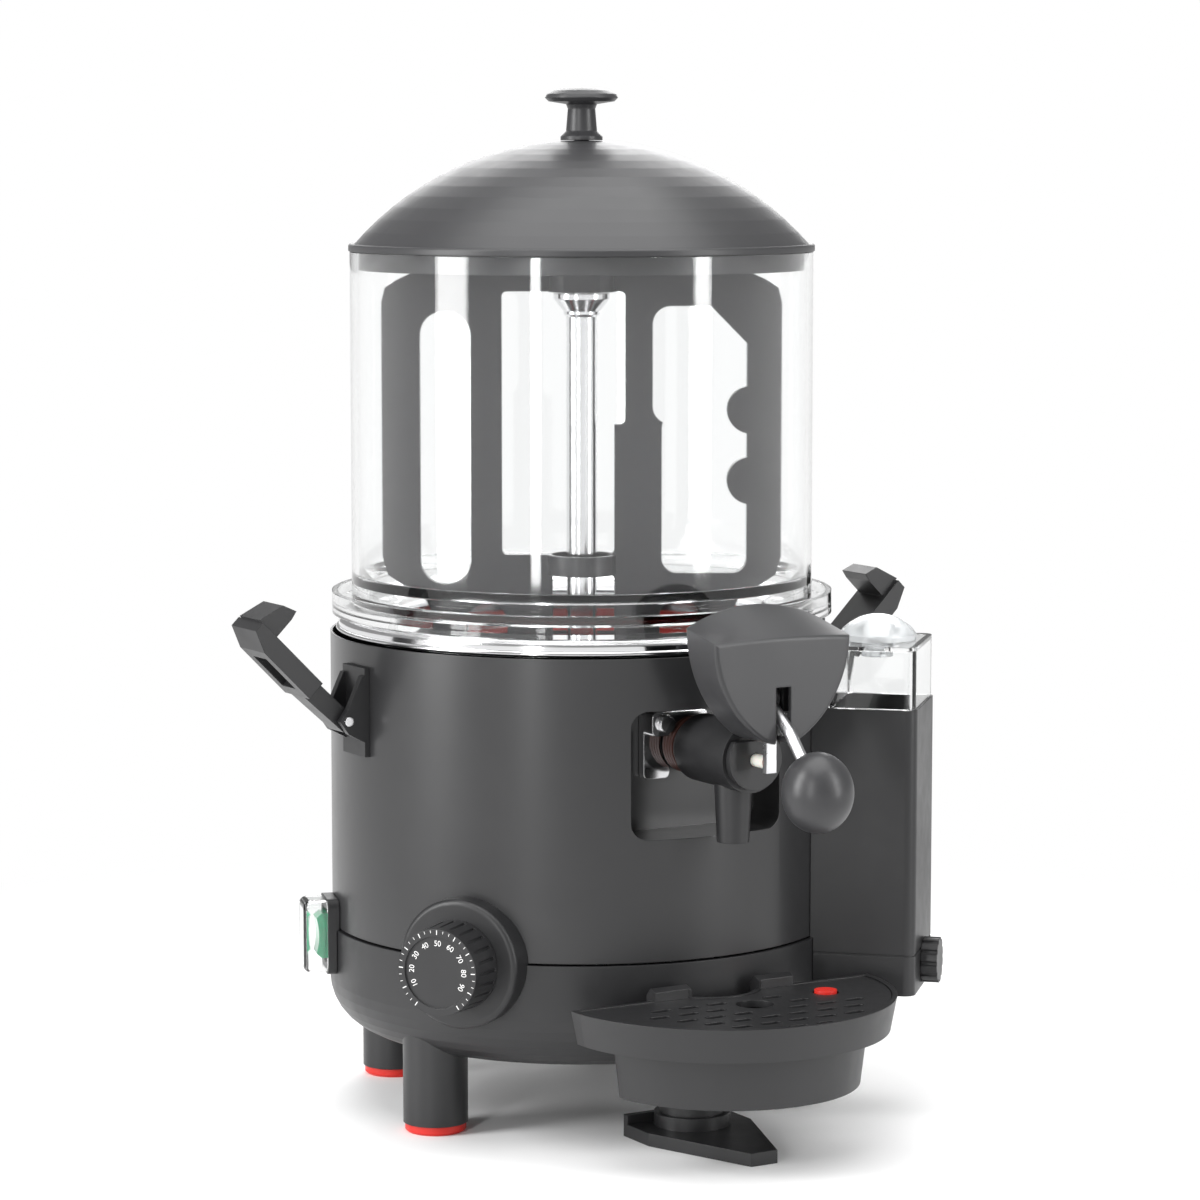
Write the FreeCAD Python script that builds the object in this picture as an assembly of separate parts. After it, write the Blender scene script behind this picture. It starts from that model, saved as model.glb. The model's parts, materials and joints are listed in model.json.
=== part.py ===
import FreeCAD, Part

import math
import os

from FreeCAD import Vector as V

# Hot chocolate dispenser: a heated steel basin in a round casing on five feet, with a clear
# bowl, a domed lid, a driven paddle, a front tap, a side water box and a hook-on drip tray.
# Millimetres. The origin is on the body's axis at table level, +Z is up, the front is -Y.

# Driving dimensions: the body
TABLE_Z = 0.0
CASING_R = 139.0
CASING_T = 1.2
CASING_TOP_Z = 262.0
SEAM_Z = 100.0
SEAM_GAP = 1.0
HOUSING_PROUD = 1.5
HOUSING_R = CASING_R + HOUSING_PROUD
HOUSING_T = 3.0
HOUSING_BOTTOM_Z = 42.0
HOUSING_ROUND = 28.0

# Driving dimensions: the feet
FOOT_INSET = 22.5
FOOT_CIRCLE_R = HOUSING_R - FOOT_INSET
FOOT_R = 17.5
FOOT_COUNT = 5
PAD_T = 5.0
PAD_R = 16.5
FOOT_SCREW_R = 2.5
FOOT_SCREW_DEPTH = 22.0
STABILISER_T = 7.0
STABILISER_TIP = 72.0
STABILISER_HALF_W = 32.0
COLLAR_R = 20.5
COLLAR_T = 7.0

# Driving dimensions: the basin and its water jacket
SHEET_T = 1.5
RIM_INSET = 4.5
RIM_R = CASING_R - RIM_INSET
RIM_H = 10.0
RIM_TOP_Z = CASING_TOP_Z + RIM_H
BASIN_R = 110.0
WELL_STEP = 12.0
WELL_R = BASIN_R - WELL_STEP
STEP_Z = RIM_TOP_Z - 26.0
STEP_DROP = 8.0
FLOOR_Z = STEP_Z - 45.0
JACKET_R = BASIN_R + 10.0
JACKET_BOTTOM_Z = FLOOR_Z - 51.0
HEATER_R = WELL_R - 20.0
HEATER_TUBE_R = 4.0

# Driving dimensions: the bowl and the lid
BOWL_R = 127.0
BOWL_T = 4.0
BOWL_TOP_Z = 470.0
FLANGE_REACH = 11.0
FLANGE_R = BOWL_R + FLANGE_REACH
FLANGE_T = 6.0
LIP_H = 6.0
LIP_T = 3.0
SPIGOT_T = 4.5
SPIGOT_LENGTH = 20.0
GASKET_H = 11.0
LID_DOME_H = 57.0
LID_EDGE_T = 3.0
LID_T = 2.5
SKIRT_H = 10.0
KNOB_STEM_R = 8.5
KNOB_STEM_H = 21.0
KNOB_CAP_R = 20.0
KNOB_CAP_H = 7.0

# Driving dimensions: the drive and the paddle
COLUMN_R = 8.5
COLUMN_BORE_R = 6.2
COLUMN_HEAD_R = 15.5
COLUMN_HEAD_H = 13.0
SHAFT_R = 4.0
HUB_BASE_R = 14.5
HUB_TOP_R = 11.5
HUB_H = 38.0
HUB_SIDES = 8
PADDLE_T = 8.0
PADDLE_TURN = -30.0
PADDLE_HALF_W = 110.0
PADDLE_H = 270.0
PADDLE_BOTTOM_Z = 222.0
SOCKET_R = 18.5
RING_WALL = 2.5
GEAR_MODULE = 1.5
GEAR_TEETH = 60
PINION_TEETH = 12
GEAR_T = 8.0
GEAR_Z = 66.0
MOTOR_R = 24.0
MOTOR_H = 52.0

# Driving dimensions: the tap
TAP_Z = FLOOR_Z + 11.0
BARREL_R = 18.0
BARREL_OUT = 37.0
BARREL_END = CASING_R + BARREL_OUT
PISTON_R = 11.0
SPOUT_Y = BARREL_END - 18.0
SPOUT_R = 10.0
PORT_R = 12.0
PORT_BORE_R = 9.0
SPOUT_BOTTOM_Z = TAP_Z - 46.0
WINDOW_HALF_W = 46.0
WINDOW_CORNER_R = 9.0
WINDOW_TOP_Z = TAP_Z + 22.0
WINDOW_BOTTOM_Z = TAP_Z - 46.0
RECESS_Y = WELL_R + 7.0
BARREL_START = RECESS_Y + 7.0
SHIELD_BACK_Y = BARREL_END + 2.0
SHIELD_DEPTH = 28.0
SHIELD_FRONT_Y = SHIELD_BACK_Y + SHIELD_DEPTH
SHIELD_HALF_W = 41.0
SHIELD_PEAK_Z = TAP_Z + 81.0
SHIELD_BROW_Z = TAP_Z + 65.0
SHIELD_CHIN_Z = TAP_Z + 11.0
SHIELD_CHIN_W = 15.0
SHIELD_ROUND = 2.0
SHIELD_T = 2.5
LEVER_Y = BARREL_END + 14.0
LEVER_Z = TAP_Z + 34.0
BALL_Y = LEVER_Y + 48.0
BALL_Z = LEVER_Z - 43.0
BALL_R = 18.5

# Driving dimensions: the side water box, round the body from the front
BOX_ANGLE = 47.0
BOX_HALF_W = 34.5
BOX_DEPTH = 53.0
BOX_OUT = CASING_R + BOX_DEPTH
BOX_BOTTOM_Z = 70.0
BOX_TOP_Z = 226.0
BOX_SEAM_Z = 92.0
BOX_T = 2.5
GLASS_TOP_Z = 260.0
DRAIN_Z = 84.0
DRAIN_R = 12.5

# Driving dimensions: controls and latches
DIAL_ANGLE = -56.0
DIAL_R = 23.0
DIAL_DEPTH = 22.0
STEM_R = 4.0
SLEEVE_R = 19.0
BEZEL_R = 34.5
BEZEL_OUT = HOUSING_R + 9.5
SWITCH_ANGLE = -108.0
SWITCH_Z = 96.0
SWITCH_HALF_W = 14.0
SWITCH_HALF_H = 21.0
SWITCH_OUT = HOUSING_R + 4.5
ROCKER_OUT = SWITCH_OUT + 2.0
BOOT_H = 13.0
LATCH_ANGLES = {"left": -90.0, "right": 90.0}
LATCH_PIN_Y = CASING_R + 12.0
LATCH_PIN_Z = RIM_TOP_Z - 50.0
LATCH_LEAN = 45.0
LATCH_HALF_W = 17.0
LATCH_LENGTH = 76.0

# Driving dimensions: the drip tray
TRAY_HALF_W = 92.0
TRAY_BACK_Y = HOUSING_R + 7.5
TRAY_DEPTH = 92.0
TRAY_FRONT_Y = TRAY_BACK_Y + TRAY_DEPTH
TRAY_END = 9.0
TRAY_DRAFT = 3.0
TRAY_TOP_Z = 84.0
TRAY_SHELF_Z = 66.0
TRAY_BOTTOM_Z = 38.0
TRAY_T = 2.5
HOOK_X = 32.0
HOOK_HALF_W = 11.0
TONGUE_Z = 55.0
TONGUE_T = 7.0
GRILLE_T = 4.0

# Driving dimensions: the cable gland at the back
GLAND_R = 6.5
GLAND_BORE_R = 3.5
GLAND_Z = SEAM_Z - 22.0

FLOAT_R = 6.0
FLOAT_X = 48.0
FLOAT_OUT = 26.0

# Clearances
RUN = 0.3
SHAFT_RUN = 0.08
SEAT = 0.3
SLACK = 1.0

X_AXIS = V(1, 0, 0)
Y_AXIS = V(0, 1, 0)
Z_AXIS = V(0, 0, 1)

PARTS = {}


def keep(name, shape):
    PARTS[name] = shape


def cylinder(r, z0, z1, x=0.0, y=0.0):
    return Part.makeCylinder(r, z1 - z0, V(x, y, z0), Z_AXIS)


def rod(r, y0, y1, x=0.0, z=0.0):
    """A round bar towards the front, from y = -y0 to y = -y1."""
    return Part.makeCylinder(r, y1 - y0, V(x, -y0, z), -Y_AXIS)


def pin(r, half_length, y, z):
    return Part.makeCylinder(r, 2 * half_length, V(-half_length, -y, z), X_AXIS)


def block(x0, x1, y0, y1, z0, z1):
    """A box whose y0 and y1 are distances in front of the axis."""
    return Part.makeBox(x1 - x0, y1 - y0, z1 - z0, V(x0, -y1, z0))


def face_of(points):
    return Part.Face(Part.makePolygon(points + [points[0]]))


def turned(profile):
    """A profile of (radius, height) points revolved about the axis."""
    return face_of([V(r, 0, z) for r, z in profile]).revolve(V(0, 0, 0), Z_AXIS, 360)


def prism_z(points, z0, z1):
    return face_of([V(x, y, z0) for x, y in points]).extrude(V(0, 0, z1 - z0))


def prism_y(points, y0, y1):
    """An (x, z) outline drawn out towards the front, from -y0 to -y1."""
    return face_of([V(x, -y0, z) for x, z in points]).extrude(V(0, y0 - y1, 0))


def prism_x(points, x0, x1):
    """A (distance in front, z) outline drawn out along X."""
    return face_of([V(x0, -y, z) for y, z in points]).extrude(V(x1 - x0, 0, 0))


def round_block(x0, x1, y0, y1, z0, z1, r, along="Y"):
    """A box with its four edges along one axis rounded."""
    body = block(x0, x1, y0, y1, z0, z1)
    edges = []
    for e in body.Edges:
        step = e.Vertexes[1].Point - e.Vertexes[0].Point
        if abs(getattr(step, along.lower())) > 1e-6:
            edges.append(e)
    return body.makeFillet(r, edges)


def about_axis(shape, degrees):
    out = shape.copy()
    out.rotate(V(0, 0, 0), Z_AXIS, degrees)
    return out


def joined(shapes):
    out = shapes[0]
    for s in shapes[1:]:
        out = out.fuse(s)
    return out.removeSplitter()


def feet_places():
    for i in range(FOOT_COUNT):
        a = math.radians(360.0 * i / FOOT_COUNT)
        yield i, FOOT_CIRCLE_R * math.sin(a), -FOOT_CIRCLE_R * math.cos(a)


def rounded_end(z_flat, r_out, r_round, wall):
    """Points of a corner rounded between a wall of radius r_out and a floor at z_flat."""
    points = []
    steps = 8
    for i in range(steps + 1):
        a = math.radians(90.0 * i / steps)
        r = r_out - r_round + (r_round - wall) * math.cos(a)
        z = z_flat + r_round - (r_round - wall) * math.sin(a)
        points.append((r, z))
    return points


# The lower housing, with its five legs and the two slots for the tray's hooks
def housing_envelope(grow=0.0):
    outer = rounded_end(HOUSING_BOTTOM_Z, HOUSING_R, HOUSING_ROUND, -grow)
    return turned([(0, SEAM_Z), (HOUSING_R + grow, SEAM_Z)] + outer
                  + [(0, HOUSING_BOTTOM_Z - grow)])


def gland_neck(grow):
    return Part.makeCylinder(GLAND_R + grow, 10, V(0, HOUSING_R - 8, GLAND_Z), Y_AXIS)


def hook_slot(side, grow):
    x = side * HOOK_X
    return block(x - HOOK_HALF_W - grow, x + HOOK_HALF_W + grow, HOUSING_R - 30, HOUSING_R + 20,
                 TONGUE_Z - SEAT, TONGUE_Z + TONGUE_T + grow)


def lower_housing():
    outer = rounded_end(HOUSING_BOTTOM_Z, HOUSING_R, HOUSING_ROUND, 0.0)
    inner = rounded_end(HOUSING_BOTTOM_Z, HOUSING_R, HOUSING_ROUND, HOUSING_T)
    shell = turned([(HOUSING_R - HOUSING_T, SEAM_Z), (HOUSING_R, SEAM_Z)] + outer
                   + [(0, HOUSING_BOTTOM_Z), (0, HOUSING_BOTTOM_Z + HOUSING_T)] + inner[::-1])
    legs = []
    holes = []
    for i, x, y in feet_places():
        foot_top = STABILISER_T if i == 0 else PAD_T
        legs.append(cylinder(FOOT_R, foot_top, HOUSING_BOTTOM_Z + 24, x, y))
        holes.append(cylinder(FOOT_SCREW_R, TABLE_Z, FOOT_SCREW_DEPTH, x, y))
    body = joined([shell] + legs)
    cuts = holes + [hook_slot(-1, 1.5), hook_slot(1, 1.5), dial_hole(), switch_hole()]
    cuts.append(gland_neck(SEAT))
    for i in range(-3, 4):
        cuts.append(block(i * 12 - 3, i * 12 + 3, -40, 10, HOUSING_BOTTOM_Z - 1,
                          HOUSING_BOTTOM_Z + HOUSING_T + 1))
    return body.cut(cuts)


def foot_pads():
    pads = []
    for i, x, y in feet_places():
        if i == 0:
            continue
        pad = cylinder(PAD_R, TABLE_Z, PAD_T, x, y)
        pad = pad.makeChamfer(1.2, [e for e in pad.Edges if len(e.Vertexes) == 1
                                    and e.Vertexes[0].Z < 0.1])
        pads.append(pad.cut(cylinder(FOOT_SCREW_R, TABLE_Z - 1, PAD_T + 1, x, y)))
    return Part.makeCompound(pads)


def stabiliser():
    w = STABILISER_HALF_W
    y0 = FOOT_CIRCLE_R
    tip = y0 + STABILISER_TIP
    plate = prism_z([(-w, -y0 + 18), (-w, -y0 - 8), (-8, -tip), (8, -tip), (w, -y0 - 8),
                     (w, -y0 + 18)], TABLE_Z, STABILISER_T)
    ribs = [block(-w, w, y0 - 18, y0 - 14, TABLE_Z, STABILISER_T + 5)]
    collar = cylinder(COLLAR_R, STABILISER_T, STABILISER_T + COLLAR_T, 0, -y0)
    body = joined([plate, collar] + ribs)
    body = body.cut(cylinder(FOOT_R, STABILISER_T, 40, 0, -y0))
    return body.cut(cylinder(FOOT_SCREW_R, -1, STABILISER_T + 1, 0, -y0))


# The upper casing, with the tap's window and its recess
SCREW_ANGLES = (110.0, 145.0, 180.0, 215.0)


def screw_shanks(grow):
    shanks = []
    for degrees in SCREW_ANGLES:
        shanks.append(about_axis(rod(1.6 + grow, CASING_R - 6, CASING_R + 1, 0, SEAM_Z + 14), degrees))
    return shanks


def tap_window(y0=RECESS_Y - 5.0, y1=CASING_R + 20.0):
    return round_block(-WINDOW_HALF_W, WINDOW_HALF_W, y0, y1, WINDOW_BOTTOM_Z, WINDOW_TOP_Z, WINDOW_CORNER_R)


def upper_casing():
    z0 = SEAM_Z + SEAM_GAP
    inner_r = CASING_R - CASING_T
    shell = turned([(inner_r, z0), (CASING_R, z0), (CASING_R, CASING_TOP_Z),
                    (inner_r, CASING_TOP_Z)])
    return shell.cut([tap_window(), dial_hole(), switch_hole()] + screw_shanks(0.0))


def tap_recess():
    t = 1.5
    inside = tap_window(RECESS_Y)
    outside = round_block(-WINDOW_HALF_W - t, WINDOW_HALF_W + t, RECESS_Y - t, CASING_R + 20.0,
                          WINDOW_BOTTOM_Z - t, WINDOW_TOP_Z + t, WINDOW_CORNER_R + t)
    shell = outside.cut(inside).common(cylinder(CASING_R - CASING_T, 0, CASING_TOP_Z))
    return shell.cut(rod(PORT_R + RUN, 60, RECESS_Y + 15, 0, TAP_Z))


# The heated basin: rolled rim, seat, step, well and sloping floor
def sheet(points, t):
    """A bent sheet of thickness t below an open outline of (radius, height) points."""
    offset = []
    for i, (r, z) in enumerate(points):
        normals = []
        for a, b in zip(points[max(0, i - 1):i + 1], points[max(1, i):i + 2]):
            dr, dz = b[0] - a[0], b[1] - a[1]
            length = math.hypot(dr, dz)
            if length > 0:
                normals.append((-dz / length, dr / length))
        nr = sum(n[0] for n in normals) / len(normals)
        nz = sum(n[1] for n in normals) / len(normals)
        scale = t / (nr * nr + nz * nz)
        offset.append((r + nr * scale, z + nz * scale))
    return turned(points + offset[::-1])


def basin_outline():
    return [(RIM_R, CASING_TOP_Z + SEAT), (RIM_R, RIM_TOP_Z - 4), (RIM_R - 1.2, RIM_TOP_Z - 1.2),
            (RIM_R - 4, RIM_TOP_Z), (BASIN_R + 4, RIM_TOP_Z), (BASIN_R + 1.2, RIM_TOP_Z - 1.2),
            (BASIN_R, RIM_TOP_Z - 4), (BASIN_R, STEP_Z), (BASIN_R - 4, STEP_Z - STEP_DROP + 2),
            (WELL_R, STEP_Z - STEP_DROP), (WELL_R, FLOOR_Z + 9), (WELL_R - 3, FLOOR_Z + 4),
            (WELL_R - 9, FLOOR_Z + 2), (30, FLOOR_Z), (24, FLOOR_Z + 4),
            (COLUMN_R + 1.6, FLOOR_Z + 12), (COLUMN_R + SHAFT_RUN, FLOOR_Z + 14)]


def heating_basin():
    outline = basin_outline()
    shell = sheet(outline, SHEET_T)
    shell = shell.cut(cylinder(COLUMN_R + SHAFT_RUN, 100, 300))
    bore = rod(PORT_BORE_R, WELL_R - 20, RECESS_Y + 25, 0, TAP_Z)
    port = rod(PORT_R, WELL_R - 4, RECESS_Y + 7, 0, TAP_Z).cut(bore)
    port = port.cut(cylinder(WELL_R + 0.2, TAP_Z - 22, TAP_Z + 24))
    return shell.cut(bore).fuse(port).removeSplitter()


def water_jacket():
    t = SHEET_T
    top = STEP_Z - STEP_DROP - t - SEAT
    flat_y = RECESS_Y - t - SEAT
    outer = cylinder(JACKET_R, JACKET_BOTTOM_Z, top)
    outer = outer.cut(block(-200, 200, flat_y, 200, 0, 300))
    inner = cylinder(JACKET_R - t, JACKET_BOTTOM_Z + t, top - t)
    inner = inner.cut(block(-200, 200, flat_y - t, 200, 0, 300))
    lid_hole = cylinder(WELL_R + t + SEAT, top - 3, top + 3)
    tank = outer.cut([inner, lid_hole, rod(PORT_R + RUN, 60, WELL_R + 32, 0, TAP_Z)])
    return tank.cut(cylinder(COLUMN_R + RUN, 100, 200))


def heating_element():
    z = JACKET_BOTTOM_Z + 16
    ring = Part.makeTorus(HEATER_R, HEATER_TUBE_R, V(0, 0, z), Z_AXIS, -180, 180, 330)
    ends = []
    for degrees in (0.0, 330.0):
        a = math.radians(degrees)
        ends.append(cylinder(HEATER_TUBE_R, JACKET_BOTTOM_Z + SHEET_T, z, HEATER_R * math.cos(a),
                             HEATER_R * math.sin(a)))
    return joined([ring] + ends)


# The column that carries the drive up through the bowl
HUB_Z = PADDLE_BOTTOM_Z + PADDLE_H - 44.0
COLUMN_TOP_Z = HUB_Z - SLACK


def column_tube():
    head = COLUMN_TOP_Z - COLUMN_HEAD_H
    profile = [(COLUMN_BORE_R, JACKET_BOTTOM_Z - 8), (COLUMN_R, JACKET_BOTTOM_Z - 8),
               (COLUMN_R, head), (COLUMN_R + 1.5, head + 1.5), (COLUMN_R + 1.5, head + 3),
               (COLUMN_HEAD_R, COLUMN_TOP_Z - 3), (COLUMN_HEAD_R, COLUMN_TOP_Z),
               (COLUMN_BORE_R, COLUMN_TOP_Z)]
    return turned(profile)


def column_bushes():
    bushes = []
    for z0 in (JACKET_BOTTOM_Z - 8, COLUMN_TOP_Z - 16):
        ring = cylinder(COLUMN_BORE_R, z0, z0 + 14)
        bushes.append(ring.cut(cylinder(SHAFT_R + SHAFT_RUN, z0 - 1, z0 + 15)))
    return Part.makeCompound(bushes)


def drive_shaft():
    return cylinder(SHAFT_R, GEAR_Z - 12, HUB_Z + HUB_H - 4)


def faceted_cone(grow=0.0, top_grow=0.0):
    def ring(r, z):
        points = []
        for i in range(HUB_SIDES):
            a = 2 * math.pi * i / HUB_SIDES
            points.append(V(r * math.cos(a), r * math.sin(a), z))
        return Part.makePolygon(points + [points[0]])
    rings = [ring(HUB_BASE_R + grow, HUB_Z - grow), ring(HUB_TOP_R + grow, HUB_Z + HUB_H + top_grow)]
    return Part.makeLoft(rings, True, True)


def drive_hub():
    cone = faceted_cone()
    return cone.cut(cylinder(SHAFT_R, HUB_Z - 1, HUB_Z + HUB_H - 4))


def gear(teeth, bore, phase=0.0):
    pitch_r = GEAR_MODULE * teeth / 2
    tip_r = pitch_r + 0.85 * GEAR_MODULE
    root_r = pitch_r - 1.2 * GEAR_MODULE
    step = 2 * math.pi / teeth
    points = []
    for i in range(teeth):
        for share, r in ((-0.27, root_r), (-0.13, tip_r), (0.13, tip_r), (0.27, root_r)):
            a = (i + share) * step + math.radians(phase)
            points.append((r * math.cos(a), r * math.sin(a)))
    body = prism_z(points, GEAR_Z, GEAR_Z + GEAR_T)
    return body.cut(cylinder(bore, GEAR_Z - 1, GEAR_Z + GEAR_T + 1))


GEAR_DISTANCE = GEAR_MODULE * (GEAR_TEETH + PINION_TEETH) / 2
PLATE_Z = GEAR_Z + GEAR_T + 4


def drive_gear():
    wheel = gear(GEAR_TEETH, SHAFT_R)
    boss = cylinder(9, GEAR_Z + GEAR_T, PLATE_Z - SLACK).cut(cylinder(SHAFT_R, 0, 200))
    holes = []
    for i in range(5):
        a = 2 * math.pi * i / 5
        holes.append(cylinder(9, 0, 200, 26 * math.cos(a), 26 * math.sin(a)))
    return wheel.cut(holes).fuse(boss).removeSplitter()


def motor_pinion():
    body = gear(PINION_TEETH, 1.5, 180.0 / PINION_TEETH)
    stem = cylinder(1.5, GEAR_Z, PLATE_Z + 10)
    out = body.fuse(stem).removeSplitter()
    out.translate(V(0, GEAR_DISTANCE, 0))
    return out


def motor_plate():
    posts = []
    for x, y in ((-62, -30), (62, -30), (-62, 70), (62, 70)):
        posts.append(cylinder(5, HOUSING_BOTTOM_Z + HOUSING_T, PLATE_Z, x, y))
    plate = block(-70, 70, -80, 40, PLATE_Z, PLATE_Z + 3)
    body = joined([plate] + posts)
    body = body.cut(cylinder(SHAFT_R + SHAFT_RUN, 0, 200))
    return body.cut(cylinder(6, 0, 200, 0, GEAR_DISTANCE))


def motor_can():
    z0 = PLATE_Z + 3
    can = cylinder(MOTOR_R, z0, z0 + MOTOR_H, 0, GEAR_DISTANCE)
    can = can.makeFillet(2.0, [e for e in can.Edges if e.BoundBox.ZMin > z0 + MOTOR_H - 1
                               and len(e.Vertexes) == 1])
    return can.cut(cylinder(1.5 + SHAFT_RUN, z0 - 1, z0 + 20, 0, GEAR_DISTANCE))


def motor_screws():
    screws = []
    for i in range(4):
        a = math.radians(45 + 90 * i)
        x = 17 * math.cos(a)
        y = GEAR_DISTANCE + 17 * math.sin(a)
        head = cylinder(3, PLATE_Z - 2.4, PLATE_Z, x, y)
        screws.append(head)
    return Part.makeCompound(screws)


# The paddle, drawn in its own plane and then turned
def window(x0, x1, z0, z1, r):
    return round_block(x0, x1, -20, 20, z0, z1, r)


def paddle_plate():
    top = PADDLE_BOTTOM_Z + PADDLE_H
    low = PADDLE_BOTTOM_Z
    w = PADDLE_HALF_W
    leg_w = 83.0
    right = [(24, top), (30, top - 4), (w - 8, top - 38), (w - 2, top - 42), (w, top - 50),
             (w, low + 80), (w - 3, low + 70), (leg_w + 3, low + 56), (leg_w, low + 50), (leg_w, low)]
    outline = right + [(-x, z) for x, z in right[::-1]]
    plate = prism_y(outline, -PADDLE_T / 2, PADDLE_T / 2)
    step_z = low + 153
    cuts = [window(-89, -61, low + 65, low + 215, 13),
            window(-44, 24, step_z, low + 226, 3),
            window(-44, 18, low + 81, step_z + 6, 3),
            window(-15, 18, low + 18, low + 70, 3),
            window(44, 91, low + 71, step_z + 6, 8),
            window(39, 91, step_z, low + 218, 10),
            window(-64, -41, low - 30, low + 54, 11),
            window(43, 65, low - 30, low + 57, 10.5),
            block(-15, 18, -20, 20, low - 1, low + 8)]
    plate = plate.cut(cuts)
    bumps = []
    for z in (low + 161, low + 122):
        bumps.append(rod(13, -PADDLE_T / 2, PADDLE_T / 2, 93, z))
    corner = prism_y([(91.5, low + 219), (70, low + 219), (91.5, low + 197)],
                     -PADDLE_T / 2, PADDLE_T / 2)
    return joined([plate, corner] + bumps)


def paddle():
    low = PADDLE_BOTTOM_Z
    top = low + PADDLE_H
    socket = cylinder(SOCKET_R, HUB_Z - SEAT, top)
    socket = socket.common(block(-SOCKET_R, SOCKET_R, -15.5, 15.5, 0, top))
    ring_r = COLUMN_HEAD_R + SLACK + RING_WALL
    rings = [cylinder(ring_r, low + 8, low + 18), cylinder(ring_r, low + 70, low + 81)]
    body = joined([paddle_plate(), socket] + rings)
    body = body.cut(faceted_cone(SEAT, 0.6))
    return body.cut(cylinder(COLUMN_HEAD_R + SLACK, 0, HUB_Z - SEAT))


# The clear bowl, its red gasket, and the lid
BOWL_FOOT_Z = RIM_TOP_Z + SEAT
SPIGOT_R = BASIN_R - 2.5


def bowl():
    z0 = BOWL_FOOT_Z
    inner = BOWL_R - BOWL_T
    spigot_in = SPIGOT_R - SPIGOT_T
    return turned([(spigot_in, z0 - SPIGOT_LENGTH), (SPIGOT_R, z0 - SPIGOT_LENGTH), (SPIGOT_R, z0),
                   (FLANGE_R, z0), (FLANGE_R, z0 + FLANGE_T + LIP_H),
                   (FLANGE_R - LIP_T, z0 + FLANGE_T + LIP_H), (FLANGE_R - LIP_T, z0 + FLANGE_T),
                   (BOWL_R, z0 + FLANGE_T), (BOWL_R, BOWL_TOP_Z), (inner, BOWL_TOP_Z),
                   (inner, z0 + 22), (inner - 5, z0 + 16), (inner - 5, z0 + 10),
                   (spigot_in + 4, z0 + 8), (spigot_in, z0 + 4)])


def bowl_gasket():
    z1 = BOWL_FOOT_Z - SPIGOT_LENGTH
    r_out = BASIN_R - RUN
    low = z1 - 3.0
    return turned([(SPIGOT_R, z1), (SPIGOT_R - SPIGOT_T, z1), (SPIGOT_R - SPIGOT_T, low),
                   (r_out - 1.5, low), (r_out, low + 2), (r_out - 1, low + 4), (r_out, low + 6),
                   (r_out - 1.5, low + GASKET_H), (SPIGOT_R, low + GASKET_H)])


def lid_dome():
    z0 = BOWL_TOP_Z + SEAT
    z1 = z0 + LID_EDGE_T
    edge = BOWL_R + 0.7
    foot = edge - 2.7
    top = z1 + LID_DOME_H
    arc_r = (foot ** 2 + LID_DOME_H ** 2) / (2 * LID_DOME_H)
    outer = []
    inner = []
    steps = 14
    reach = math.asin(foot / arc_r)
    for i in range(steps + 1):
        a = reach * (1 - i / steps)
        outer.append((arc_r * math.sin(a), top - arc_r + arc_r * math.cos(a)))
        inner_r = arc_r - LID_T
        inner.append((inner_r * math.sin(a), top - arc_r + inner_r * math.cos(a)))
    skirt_r = BOWL_R - BOWL_T - SLACK
    inner = [p for p in inner if p[0] < skirt_r - 4]
    outer[-1] = (0.0, outer[-1][1])
    inner[-1] = (0.0, inner[-1][1])
    points = [(skirt_r - 2.5, z0 - SKIRT_H), (skirt_r, z0 - SKIRT_H), (skirt_r, z0), (edge, z0),
              (edge, z1), (edge - 1, z1 + 1)]
    shell = turned(points + outer + inner[::-1] + [(skirt_r - 2.5, z0)])
    return shell.cut(cylinder(4.0, top - 8, top + 2))


def lid_knob():
    z0 = BOWL_TOP_Z + SEAT + LID_EDGE_T + LID_DOME_H
    z1 = z0 + KNOB_STEM_H
    r = KNOB_STEM_R
    cap = KNOB_CAP_R
    stem = cylinder(4.0 - 0.05, z0 - 7, z0 + 2)
    body = turned([(0, z0), (r + 3, z0), (r + 3, z0 + 2), (r, z0 + 5), (r - 1, z1 - 4), (r, z1 - 1.5),
                   (cap - 2, z1), (cap, z1 + 2), (cap - 1, z1 + 4), (cap - 5, z1 + KNOB_CAP_H - 1),
                   (cap / 2, z1 + KNOB_CAP_H), (0, z1 + KNOB_CAP_H + 0.4)])
    return body.fuse(stem).removeSplitter()


# The tap: barrel, seal, spout, piston, lever and shield
def tap_barrel():
    body = rod(BARREL_R, BARREL_START + 16, BARREL_END, 0, TAP_Z)
    nose = Part.makeCone(15, BARREL_R, 6, V(0, -BARREL_START - 10, TAP_Z), -Y_AXIS)
    post = block(-7, 7, BARREL_END - 12, BARREL_END, TAP_Z + 10, LEVER_Z + 10)
    ears = block(-10, 10, BARREL_END - 12, LEVER_Y + 7, LEVER_Z - 7, LEVER_Z + 7)
    ears = ears.cut(block(-5.5, 5.5, BARREL_END + SLACK, BALL_Y, LEVER_Z - 10, LEVER_Z + 10))
    saddle = block(-9, 9, SHIELD_BACK_Y - 10, BARREL_END, LEVER_Z + 8, LEVER_Z + 12)
    body = joined([body, nose, post, ears, saddle])
    bore = rod(PISTON_R, BARREL_START - 20, BARREL_END - 3, 0, TAP_Z)
    stem = rod(3.5, BARREL_START - 20, BARREL_END + 24, 0, TAP_Z)
    drop = cylinder(SPOUT_R - 2.5, TAP_Z - 40, TAP_Z, 0, -SPOUT_Y)
    return body.cut([bore, stem, drop, pin(2.5 + SHAFT_RUN, 20, LEVER_Y, LEVER_Z)])


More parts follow.
